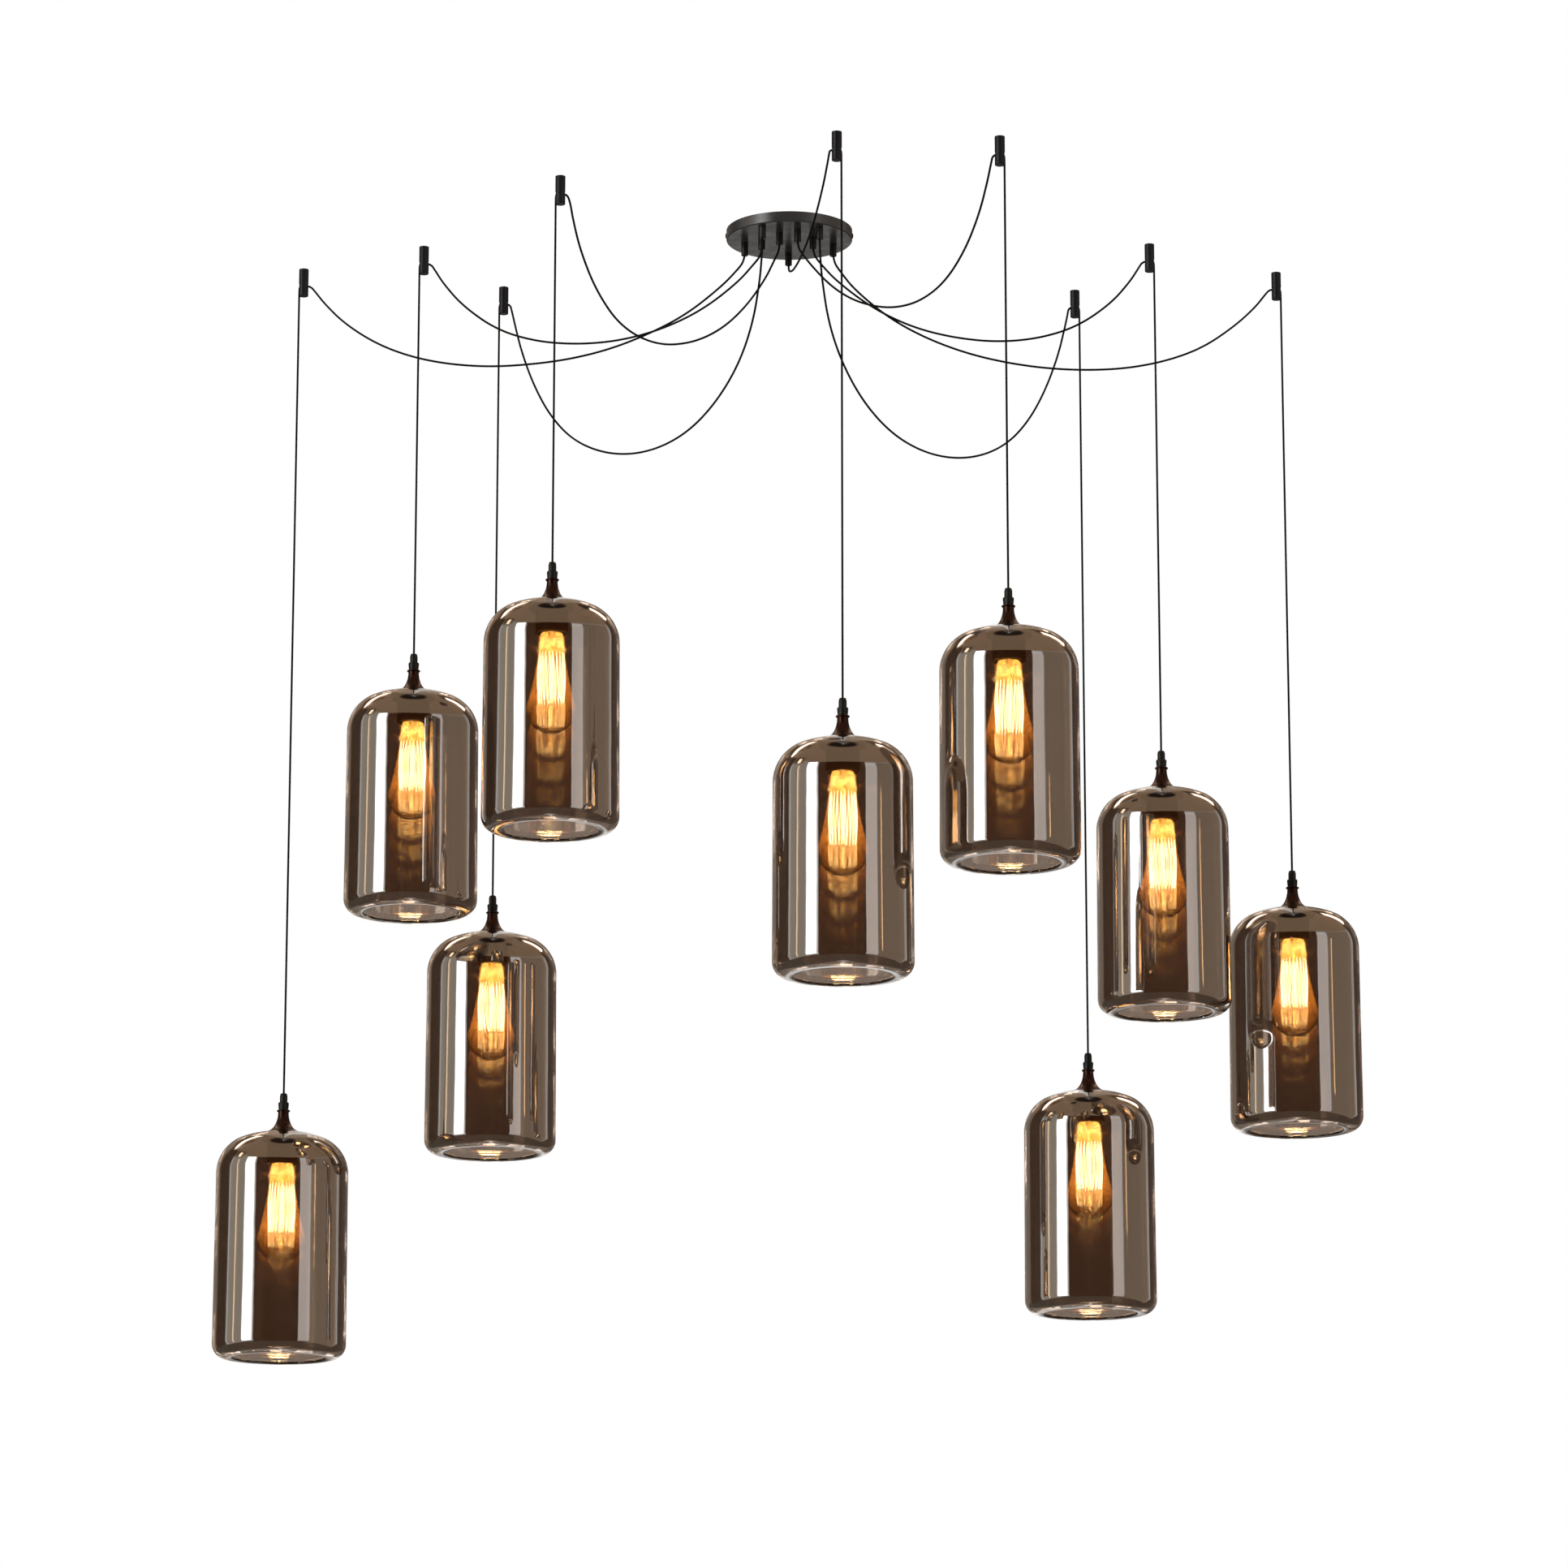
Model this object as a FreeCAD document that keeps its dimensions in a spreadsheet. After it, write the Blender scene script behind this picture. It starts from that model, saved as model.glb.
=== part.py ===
import FreeCAD, Part
import math
import os
import re
import Sketcher

# A nine-light swag fixture: a round ceiling canopy feeds nine thin cords. Each cord hangs in
# a swag to its own ceiling hook, turns down there and carries one glass pendant.
# Frame: the origin is the centre of the canopy on the ceiling plane, +Z is up, and the
# room side that the light is seen from is -Y. Lengths are in millimetres.

os.makedirs("parts", exist_ok=True)
doc = FreeCAD.newDocument("swag_pendant_light")

SIZES = {
    # canopy cover
    "cover_radius": 77.5,
    "cover_height": 13.0,
    "cover_wall": 1.2,
    "cover_edge_round": 1.5,
    # mounting bar behind the cover
    "bar_width": 22.0,
    "bar_thickness": 1.5,
    "bar_gap": 0.3,
    "bar_tab_drop": 11.0,
    "bar_bend": 2.0,
    "slot_spacing": 70.0,
    "slot_length": 12.0,
    "slot_width": 4.5,
    "cable_hole_radius": 5.0,
    # terminal block under the bar
    "block_length": 28.0,
    "block_width": 14.0,
    "block_height": 8.0,
    "block_offset": 14.0,
    "pole_pitch": 8.5,
    "wire_hole_radius": 1.7,
    "clamp_hole_radius": 2.0,
    "clamp_hole_inset": 3.5,
    # side screws that hold the cover to the bar
    "side_screw_drop": 6.5,
    "side_screw_radius": 2.0,
    "side_screw_length": 7.0,
    "side_head_radius": 3.2,
    "side_head_height": 1.3,
    "side_screw_gap": 0.2,
    "thread_gap": 0.05,
    # cord grips under the cover
    "grip_radius": 4.25,
    "grip_length": 16.0,
    "grip_round": 0.8,
    "grip_bore_depth": 6.0,
    "grip_wire_radius": 1.0,
    "spigot_radius": 3.8,
    "spigot_length": 4.6,
    "spigot_gap": 0.15,
    "lock_nut_flats": 11.0,
    "lock_nut_height": 2.5,
    # ceiling hooks
    "hook_radius": 6.0,
    "hook_length": 35.0,
    "hook_round": 0.6,
    "hook_bore_drop": 21.0,
    "hook_bore_gap": 0.5,
    "hook_mouth_round": 0.8,
    "groove_width": 5.0,
    "groove_depth": 2.2,
    "groove_gap": 0.3,
    "plug_radius": 4.5,
    "plug_length": 8.0,
    "plug_gap": 0.1,
    "plug_hole_radius": 1.75,
    "plug_sink_radius": 3.4,
    # cords
    "cord_radius": 1.3,
    "cord_gap": 0.2,
    "cord_turn_radius": 2.6,
    "cord_meeting": 2.5,
    "swag_stand_off": 1.9,
    "cord_tail": 1.5,
    # glass shade, from its crown down
    "shade_wall": 3.0,
    "shade_hole_radius": 20.5,
    "shade_land_radius": 24.0,
    "shade_crown_inset": 23.8,
    "shade_crown_drop": 9.2,
    "shade_crown_bend": 100.0,
    "shade_taper": 0.8,
    "shade_shoulder_drop": 50.0,
    "shade_shoulder_bend": 46.8,
    "shade_radius": 80.8,
    "shade_height": 274.5,
    "shade_corner": 17.0,
    "shade_lip": 6.6,
    # trumpet cap on the shade
    "cap_radius": 22.8,
    "cap_height": 28.6,
    "cap_wall": 1.0,
    "cap_waist_radius": 10.2,
    "cap_waist_height": 10.0,
    "cap_neck_radius": 6.5,
    "cap_neck_bend": 32.7,
    "cap_flare_bend": 17.7,
    "cap_bead_radius": 1.05,
    # cord gland on the cap
    "gland_foot_radius": 5.8,
    "gland_body_radius": 6.5,
    "gland_body_height": 9.2,
    "gland_shoulder": 1.0,
    "gland_nut_radius": 4.65,
    "gland_nut_tip_radius": 3.7,
    "gland_nut_height": 11.2,
    "gland_nut_taper": 3.4,
    # threaded tube that ties gland, cap and holder together
    "nipple_radius": 5.0,
    "nipple_bore": 3.5,
    "nipple_rise": 4.8,
    # lamp holder
    "holder_radius": 19.5,
    "holder_wall": 2.0,
    "holder_head": 3.0,
    "holder_top_drop": 1.0,
    "holder_depth": 38.0,
    "shade_ring_radius": 27.0,
    "shade_ring_height": 3.5,
    "core_gap": 0.2,
    "core_top_drop": 7.0,
    "core_floor": 3.4,
    "core_depth": 34.0,
    "tongue_radius": 4.0,
    "tongue_height": 1.4,
    "contact_gap": 0.2,
    # screw base of the bulb
    "base_radius": 13.2,
    "base_wall": 0.6,
    "base_gap": 0.4,
    "base_shell_length": 21.0,
    "insulator_tip_radius": 5.5,
    "insulator_radius": 11.5,
    "insulator_height": 3.4,
    "contact_radius": 4.5,
    "contact_height": 1.6,
    # glass envelope of the bulb
    "envelope_radius": 29.5,
    "envelope_bottom_drop": 158.0,
    "envelope_wall": 0.8,
    "envelope_swell_bend": 400.0,
    "neck_radius": 12.3,
    "neck_insert": 8.0,
    "neck_step": 3.4,
    "neck_swell": 1.9,
    # stem and squirrel cage inside the bulb
    "stem_gap": 0.2,
    "stem_flare_height": 1.6,
    "stem_taper": 12.0,
    "stem_radius": 2.2,
    "stem_button_radius": 3.2,
    "stem_button_height": 3.0,
    "cage_radius": 16.5,
    "cage_top_drop": 61.0,
    "cage_height": 64.0,
    "cage_wire": 0.6,
    # half the width and the depth that the hooks are spread over
    "hook_spread": 614.0,
    "hook_reach": 371.0,
    # how far down each pendant's gland starts
    "gland_drop_1": 1050.0,
    "gland_drop_2": 521.0,
    "gland_drop_3": 789.0,
    "gland_drop_4": 477.0,
    "gland_drop_5": 680.0,
    "gland_drop_6": 546.0,
    "gland_drop_7": 645.0,
    "gland_drop_8": 985.0,
    "gland_drop_9": 770.0,
    # overrun of every cut
    "overrun": 2.0,
}

cage_wires_share = 8
arc_run_share = 0.45
crown_slope_share = 27.0
shoulder_slope_share = 87.0
waist_slope_share = 62.0

# where each hook stands on the ceiling, in shares of the spread and the reach
hook_shares = {
    1: (-0.9951, 0.4232),
    2: (-0.7394, 0.1752),
    3: (-0.5912, 0.6253),
    4: (-0.4463, -0.5633),
    5: (0.0896, -1.0000),
    6: (0.4007, -0.9542),
    7: (0.7280, 0.1482),
    8: (0.5928, 0.6631),
    9: (1.0000, 0.4609),
}
# where each grip stands on the cover, in shares of the cover's radius
grip_shares = {
    1: (-0.710, 0.129),
    2: (-0.439, -0.181),
    3: (-0.426, -0.761),
    4: (-0.155, -0.426),
    5: (-0.013, 0.632),
    6: (0.129, -0.581),
    7: (0.374, -0.219),
    8: (0.477, -0.710),
    9: (0.697, 0.155),
}
# the side of its hook that each cord comes down: 1 is +X
drop_side_shares = {1: -1, 2: -1, 3: -1, 4: -1, 5: 1, 6: 1, 7: 1, 8: 1, 9: 1}

# route of each swag between its grip and its hook: how far along and how far up, in shares of
# the straight distance seen from above
swag_shares = {
    1: ((0.000, -0.062), (0.019, -0.085), (0.055, -0.118), (0.130, -0.173), (0.213, -0.210),
        (0.301, -0.238), (0.393, -0.254), (0.485, -0.259), (0.576, -0.257), (0.668, -0.245),
        (0.756, -0.222), (0.841, -0.185), (0.916, -0.132), (0.964, -0.083), (0.987, -0.053)),
    2: ((0.000, -0.083), (0.026, -0.114), (0.071, -0.164), (0.174, -0.241), (0.293, -0.293),
        (0.419, -0.322), (0.548, -0.327), (0.677, -0.310), (0.796, -0.267), (0.898, -0.188),
        (0.958, -0.117), (0.984, -0.074)),
    3: ((0.000, -0.081), (0.002, -0.120), (0.009, -0.184), (0.035, -0.304), (0.087, -0.415),
        (0.171, -0.507), (0.274, -0.574), (0.392, -0.604), (0.514, -0.601), (0.633, -0.569),
        (0.744, -0.509), (0.832, -0.422), (0.898, -0.318), (0.949, -0.207), (0.977, -0.122),
        (0.991, -0.076)),
    4: ((0.000, -0.113), (0.026, -0.162), (0.068, -0.246), (0.162, -0.379), (0.281, -0.495),
        (0.427, -0.576), (0.589, -0.608), (0.747, -0.563), (0.861, -0.440), (0.935, -0.291),
        (0.971, -0.172), (0.984, -0.107)),
    5: ((0.000, -0.083), (0.038, -0.099), (0.106, -0.118), (0.225, -0.135), (0.355, -0.144),
        (0.485, -0.147), (0.615, -0.140), (0.738, -0.123), (0.856, -0.099), (0.937, -0.073),
        (0.972, -0.059)),
    6: ((0.000, -0.091), (0.029, -0.125), (0.078, -0.177), (0.172, -0.263), (0.276, -0.333),
        (0.388, -0.385), (0.508, -0.422), (0.633, -0.432), (0.755, -0.404), (0.857, -0.328),
        (0.929, -0.229), (0.971, -0.135), (0.989, -0.083)),
    7: ((0.000, -0.084), (0.024, -0.115), (0.072, -0.166), (0.175, -0.240), (0.293, -0.293),
        (0.418, -0.319), (0.548, -0.327), (0.675, -0.310), (0.795, -0.267), (0.898, -0.190),
        (0.958, -0.118), (0.985, -0.074)),
    8: ((0.000, -0.080), (0.002, -0.118), (0.009, -0.182), (0.034, -0.303), (0.089, -0.413),
        (0.171, -0.506), (0.276, -0.572), (0.394, -0.602), (0.517, -0.600), (0.638, -0.568),
        (0.745, -0.508), (0.832, -0.422), (0.900, -0.317), (0.953, -0.205), (0.980, -0.121),
        (0.994, -0.075)),
    9: ((0.000, -0.061), (0.017, -0.085), (0.049, -0.122), (0.124, -0.177), (0.207, -0.216),
        (0.298, -0.242), (0.388, -0.256), (0.482, -0.261), (0.574, -0.258), (0.667, -0.245),
        (0.757, -0.221), (0.841, -0.184), (0.915, -0.129), (0.964, -0.082), (0.987, -0.052)),
}

sheet = doc.addObject("Spreadsheet::Sheet", "Sizes")
for row, (alias, number) in enumerate(SIZES.items(), 1):
    sheet.set("A%d" % row, alias)
    sheet.set("B%d" % row, str(number))
    sheet.setAlias("B%d" % row, alias)
doc.recompute()


def named(text):
    """Put the sheet's name before every size in an expression."""
    return re.sub(r"[a-z]\w*(?![\w(])", lambda hit: "Sizes." + hit.group(0), text)


def value(text):
    """The number that an expression of named sizes gives now."""
    return float(sheet.evalExpression(named(text)))


def hook_place(number):
    """How far across and along the ceiling a hook stands, as two expressions."""
    across, along = hook_shares[number]
    return "%g * hook_spread" % across, "%g * hook_reach" % along


def grip_place(number):
    """How far across and along the cover a grip stands, as two expressions."""
    return tuple("%g * cover_radius" % share for share in grip_shares[number])


def bind(target, field, text):
    """Drive a field by an expression, unless it stays at zero."""
    if text != "0":
        target.setExpression(field, named(text))


def fix_point(sketch, edge, end, across, up):
    """Hold one point of a sketch edge at two driven distances from the origin."""
    for kind, text in (("DistanceX", across), ("DistanceY", up)):
        index = sketch.addConstraint(Sketcher.Constraint(kind, -1, 1, edge, end, value(text)))
        bind(sketch, "Constraints[%d]" % index, text)


def fix_radius(sketch, edge, text):
    index = sketch.addConstraint(Sketcher.Constraint("Radius", edge, value(text)))
    bind(sketch, "Constraints[%d]" % index, text)


def new_sketch(body, role, name, rise="0"):
    """A sketch on one of the body's own planes, raised along that plane's normal."""
    sketch = body.newObject("Sketcher::SketchObject", name)
    plane = [item for item in body.Origin.OriginFeatures if item.Role == role][0]
    sketch.AttachmentSupport = [(plane, "")]
    sketch.MapMode = "FlatFace"
    bind(sketch, "AttachmentOffset.Base.z", rise)
    return sketch


def arc_between(start, end, radius, turn):
    """The short arc from start to end; turn is 1 counter-clockwise and -1 clockwise."""
    chord = end - start
    half = chord.Length / 2
    away = math.sqrt(max(radius * radius - half * half, 0))
    side = FreeCAD.Vector(-chord.y, chord.x, 0).normalize()
    centre = start + chord * 0.5 + side * (turn * away)
    first, last = (start, end) if turn > 0 else (end, start)
    begin = math.atan2(first.y - centre.y, first.x - centre.x)
    finish = math.atan2(last.y - centre.y, last.x - centre.x)
    circle = Part.Circle(centre, FreeCAD.Vector(0, 0, 1), radius)
    return Part.ArcOfCircle(circle, begin, finish)


def draw_outline(sketch, corners):
    """Draw a closed outline.

    A corner is (across, up), or (across, up, radius, turn) where an arc leaves it.
    """
    spots = [FreeCAD.Vector(value(corner[0]), value(corner[1]), 0) for corner in corners]
    ends = []
    for index, corner in enumerate(corners):
        start, end = spots[index], spots[(index + 1) % len(spots)]
        if len(corner) == 2:
            edge = sketch.addGeometry(Part.LineSegment(start, end), False)
            ends.append((edge, 1, 2))
        else:
            edge = sketch.addGeometry(arc_between(start, end, value(corner[2]), corner[3]), False)
            ends.append((edge, 1, 2) if corner[3] > 0 else (edge, 2, 1))
    for index, (edge, _, finish) in enumerate(ends):
        following, first, _ = ends[(index + 1) % len(ends)]
        sketch.addConstraint(Sketcher.Constraint("Coincident", edge, finish, following, first))
    for (edge, begin, _), corner in zip(ends, corners):
        fix_point(sketch, edge, begin, corner[0], corner[1])
        if len(corner) > 2:
            fix_radius(sketch, edge, corner[2])


def draw_circle(sketch, across, up, radius):
    centre = FreeCAD.Vector(value(across), value(up), 0)
    edge = sketch.addGeometry(Part.Circle(centre, FreeCAD.Vector(0, 0, 1), value(radius)), False)
    fix_point(sketch, edge, 3, across, up)
    fix_radius(sketch, edge, radius)


def draw_slot(sketch, across, up, half_run, radius):
    """A slot along the sketch's first axis."""
    left, right = "%s - %s" % (across, half_run), "%s + %s" % (across, half_run)
    low, high = "%s - %s" % (up, radius), "%s + %s" % (up, radius)
    middle_left = "%s - %s - %s" % (across, half_run, radius)
    middle_right = "%s + %s + %s" % (across, half_run, radius)
    draw_outline(sketch, [
        (left, low),
        (right, low, radius, 1),
        (middle_right, up, radius, 1),
        (right, high),
        (left, high, radius, 1),
        (middle_left, up, radius, 1),
    ])


def new_body(name):
    return doc.addObject("PartDesign::Body", name)


def revolve(body, name, corners, axis="V_Axis", kind="PartDesign::Revolution", role="XZ_Plane"):
    """Turn an outline a full turn about one of its sketch's axes."""
    sketch = new_sketch(body, role, name + "_outline")
    draw_outline(sketch, corners)
    feature = body.newObject(kind, name)
    feature.Profile = sketch
    feature.ReferenceAxis = (sketch, [axis])
    feature.Angle = 360
    doc.recompute()
    return feature


def turned_body(name, corners):
    body = new_body(name)
    revolve(body, name + "_turning", corners)
    return body


def extrude(body, sketch, name, kind, length, both_ways=False, reverse=False):
    """Pad or pocket a sketch by a driven length."""
    feature = body.newObject(kind, name)
    feature.Profile = sketch
    feature.Type = "Length"
    bind(feature, "Length", length)
    if both_ways:
        feature.SideType = "Symmetric"
    feature.Reversed = reverse
    doc.recompute()
    return feature


def cut(body, sketch, name, length, both_ways=False, reverse=False):
    """A pocket that has to take material away."""
    before = body.Shape.Volume
    feature = extrude(body, sketch, name, "PartDesign::Pocket", length, both_ways, reverse)
    if body.Shape.Volume >= before:
        raise RuntimeError(name + " cuts nothing")
    return feature


def placed(name, pieces, across="0", along="0", height="0", turn="0"):
    """A copy of one or more pieces as separate solids at a driven place."""
    group = doc.addObject("Part::Compound", name)
    group.Links = pieces
    bind(group, "Placement.Base.x", across)
    bind(group, "Placement.Base.y", along)
    bind(group, "Placement.Base.z", height)
    if turn != "0":
        group.Placement.Rotation = FreeCAD.Rotation(FreeCAD.Vector(0, 0, 1), 0)
        bind(group, "Placement.Rotation.Angle", turn)
    return group


# The cover is a shallow spun dish, open to the ceiling, with a rounded lower edge.
canopy_cover = new_body("canopy_cover")
revolve(canopy_cover, "cover_dish", [
    ("0", "0 - cover_height"),
    ("cover_radius - cover_edge_round", "0 - cover_height", "cover_edge_round", 1),
    ("cover_radius", "cover_edge_round - cover_height"),
    ("cover_radius", "0"),
    ("cover_radius - cover_wall", "0"),
    ("cover_radius - cover_wall", "cover_wall - cover_height"),
    ("0", "cover_wall - cover_height"),
])
grip_holes = new_sketch(canopy_cover, "XY_Plane", "grip_holes")
for number in grip_shares:
    draw_circle(grip_holes, *grip_place(number), "spigot_radius + spigot_gap")
cut(canopy_cover, grip_holes, "grip_holes_cut", "cover_height + overrun")
side_holes = new_sketch(canopy_cover, "YZ_Plane", "side_holes")
draw_circle(side_holes, "0", "0 - side_screw_drop", "side_screw_radius + side_screw_gap")
cut(canopy_cover, side_holes, "side_holes_cut", "2 * cover_radius + 2 * overrun", both_ways=True)

# The bar is one bent strip: a flat web on the ceiling and a tab down at each end.
bar_reach = "(sqrt((cover_radius - cover_wall)^2 - (bar_width / 2)^2) - bar_gap)"
mounting_bar = new_body("mounting_bar")
bar_profile = new_sketch(mounting_bar, "XZ_Plane", "bar_profile")
draw_outline(bar_profile, [
    ("0 - " + bar_reach, "0 - bar_tab_drop"),
    ("bar_thickness - " + bar_reach, "0 - bar_tab_drop"),
    ("bar_thickness - " + bar_reach, "0 - bar_thickness"),
    (bar_reach + " - bar_thickness", "0 - bar_thickness"),
    (bar_reach + " - bar_thickness", "0 - bar_tab_drop"),
    (bar_reach, "0 - bar_tab_drop"),
    (bar_reach, "0 - bar_bend", "bar_bend", 1),
    (bar_reach + " - bar_bend", "0"),
    ("bar_bend - " + bar_reach, "0", "bar_bend", 1),
    ("0 - " + bar_reach, "0 - bar_bend"),
])
extrude(mounting_bar, bar_profile, "bar_strip", "PartDesign::Pad", "bar_width", both_ways=True)
bar_slots = new_sketch(mounting_bar, "XY_Plane", "bar_slots")
draw_slot(bar_slots, "slot_spacing / 2", "0", "(slot_length - slot_width) / 2", "slot_width / 2")
draw_slot(bar_slots, "0 - slot_spacing / 2", "0", "(slot_length - slot_width) / 2", "slot_width / 2")
draw_circle(bar_slots, "0", "0", "cable_hole_radius")
cut(mounting_bar, bar_slots, "bar_slots_cut", "bar_thickness + overrun")
tab_holes = new_sketch(mounting_bar, "YZ_Plane", "tab_holes")
draw_circle(tab_holes, "0", "0 - side_screw_drop", "side_screw_radius + thread_gap")
cut(mounting_bar, tab_holes, "tab_holes_cut", "2 * cover_radius", both_ways=True)

# Three-pole block: a wire way through each pole and two clamping-screw wells below it.
terminal_block = new_body("terminal_block")
block_plan = new_sketch(terminal_block, "XY_Plane", "block_plan", "0 - bar_thickness - block_height")
draw_outline(block_plan, [
    ("0 - block_offset - block_width / 2", "0 - block_length / 2"),
    ("block_width / 2 - block_offset", "0 - block_length / 2"),
    ("block_width / 2 - block_offset", "block_length / 2"),
    ("0 - block_offset - block_width / 2", "block_length / 2"),
])
extrude(terminal_block, block_plan, "block", "PartDesign::Pad", "block_height")
wire_ways = new_sketch(terminal_block, "YZ_Plane", "wire_ways")
clamp_wells = new_sketch(terminal_block, "XY_Plane", "clamp_wells", "0 - bar_thickness - block_height")
for pole in (-1, 0, 1):
    pole_line = "%d * pole_pitch" % pole if pole else "0"
    draw_circle(wire_ways, pole_line, "0 - bar_thickness - block_height / 2", "wire_hole_radius")
    for end, inset in (("-", "+"), ("+", "-")):
        spot = "0 - block_offset %s block_width / 2 %s clamp_hole_inset" % (end, inset)
        draw_circle(clamp_wells, spot, pole_line, "clamp_hole_radius")
cut(terminal_block, wire_ways, "wire_ways_cut", "block_offset + block_width")
cut(terminal_block, clamp_wells, "clamp_wells_cut", "block_height / 2", reverse=True)

# Grip: a turned sleeve under the cover, its threaded spigot through the cover, and a nut.
grip_sleeve = turned_body("grip_sleeve", [
    ("cord_radius + cord_gap", "0 - cover_height - grip_length"),
    ("grip_radius - grip_round", "0 - cover_height - grip_length", "grip_round", 1),
    ("grip_radius", "grip_round - cover_height - grip_length"),
    ("grip_radius", "0 - cover_height"),
    ("spigot_radius", "0 - cover_height"),
    ("spigot_radius", "spigot_length - cover_height"),
    ("grip_wire_radius", "spigot_length - cover_height"),
    ("grip_wire_radius", "grip_bore_depth - cover_height - grip_length"),
    ("cord_radius + cord_gap", "grip_bore_depth - cover_height - grip_length"),
])
lock_nut = new_body("lock_nut")
nut_plan = new_sketch(lock_nut, "XY_Plane", "nut_plan", "cover_wall - cover_height")
nut_corner, nut_half = "lock_nut_flats / sqrt(3)", "lock_nut_flats / sqrt(3) / 2"
draw_outline(nut_plan, [
    (nut_corner, "0"),
    (nut_half, "lock_nut_flats / 2"),
    ("0 - " + nut_half, "lock_nut_flats / 2"),
    ("0 - " + nut_corner, "0"),
    ("0 - " + nut_half, "0 - lock_nut_flats / 2"),
    (nut_half, "0 - lock_nut_flats / 2"),
])
draw_circle(nut_plan, "0", "0", "spigot_radius + thread_gap")
extrude(lock_nut, nut_plan, "nut", "PartDesign::Pad", "lock_nut_height")
canopy_grips = doc.addObject("Part::Compound", "canopy_grips")
canopy_grips.Links = [
    placed("grip_%d" % number, [grip_sleeve, lock_nut], *grip_place(number))
    for number in grip_shares
]

# Side screws: low domed heads on the cover's rim, shanks in the bar's tabs.
side_screw = new_body("side_screw")
revolve(side_screw, "side_screw_turning", [
    ("cover_radius - side_screw_length", "0"),
    ("cover_radius + side_head_height", "0"),
    ("cover_radius + side_head_height", "side_head_radius / 2"),
    ("cover_radius + side_head_height / 2", "side_head_radius"),
    ("cover_radius", "side_head_radius"),
    ("cover_radius", "side_screw_radius"),
    ("cover_radius - side_screw_length", "side_screw_radius"),
], axis="H_Axis")
canopy_screws = doc.addObject("Part::Compound", "canopy_screws")
canopy_screws.Links = [
    placed("screw_right", [side_screw], height="0 - side_screw_drop"),
    placed("screw_left", [side_screw], height="0 - side_screw_drop", turn="180"),
]

# Barrel: a blind well on top for the plug, a cross bore that the cord runs through, and a
# groove from the bore down its outer side where the cord drops. The bore is along X.
bore_radius = "(cord_radius + hook_bore_gap)"
hook_barrel = new_body("hook_barrel")
revolve(hook_barrel, "barrel_turning", [
    ("0", "0 - hook_length"),
    ("hook_radius - hook_round", "0 - hook_length", "hook_round", 1),
    ("hook_radius", "hook_round - hook_length"),
    ("hook_radius", "0"),
    ("plug_radius + plug_gap", "0"),
    ("plug_radius + plug_gap", "0 - plug_length - plug_gap"),
    ("0", "0 - plug_length - plug_gap"),
])
cross_bore = new_sketch(hook_barrel, "YZ_Plane", "cross_bore")
draw_circle(cross_bore, "0", "0 - hook_bore_drop", bore_radius)
bore_cut = cut(hook_barrel, cross_bore, "cross_bore_cut", "2 * hook_radius + 2 * overrun", both_ways=True)
bore_mouth = [
    "Edge%d" % (index + 1)
    for index, edge in enumerate(hook_barrel.Shape.Edges)
    if edge.BoundBox.XMax < 0 and edge.BoundBox.ZLength < value(bore_radius + " * 2 + hook_mouth_round")
    and abs(edge.BoundBox.Center.z + value("hook_bore_drop")) < value("cord_radius")
    and edge.BoundBox.YLength > value("cord_radius")
]
mouth_round = hook_barrel.newObject("PartDesign::Fillet", "mouth_round")
mouth_round.Base = (bore_cut, bore_mouth)
bind(mouth_round, "Radius", "hook_mouth_round")
doc.recompute()
drop_groove = new_sketch(hook_barrel, "YZ_Plane", "drop_groove", "hook_radius - groove_depth")
draw_outline(drop_groove, [
    ("0 - groove_width / 2", "0 - hook_bore_drop"),
    ("0 - groove_width / 2", "0 - hook_length - overrun"),
    ("groove_width / 2", "0 - hook_length - overrun"),
    ("groove_width / 2", "0 - hook_bore_drop", "groove_width / 2", 1),
    ("0", "groove_width / 2 - hook_bore_drop", "groove_width / 2", 1),
])
cut(hook_barrel, drop_groove, "drop_groove_cut", "groove_depth + overrun", reverse=True)

hook_plug = turned_body("hook_plug", [
    ("plug_hole_radius", "0"),
    ("plug_hole_radius", "plug_sink_radius - plug_hole_radius - plug_length"),
    ("plug_sink_radius", "0 - plug_length"),
    ("plug_radius", "0 - plug_length"),
    ("plug_radius", "0"),
])
ceiling_hooks = doc.addObject("Part::Compound", "ceiling_hooks")
ceiling_hooks.Links = [
    placed("hook_%d" % number, [hook_barrel, hook_plug], *hook_place(number),
           turn="%d" % (90 - 90 * drop_side_shares[number]))
    for number in hook_shares
]

# The pendant's pieces are drawn once about its own axis: height zero is the top of the glass.

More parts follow.
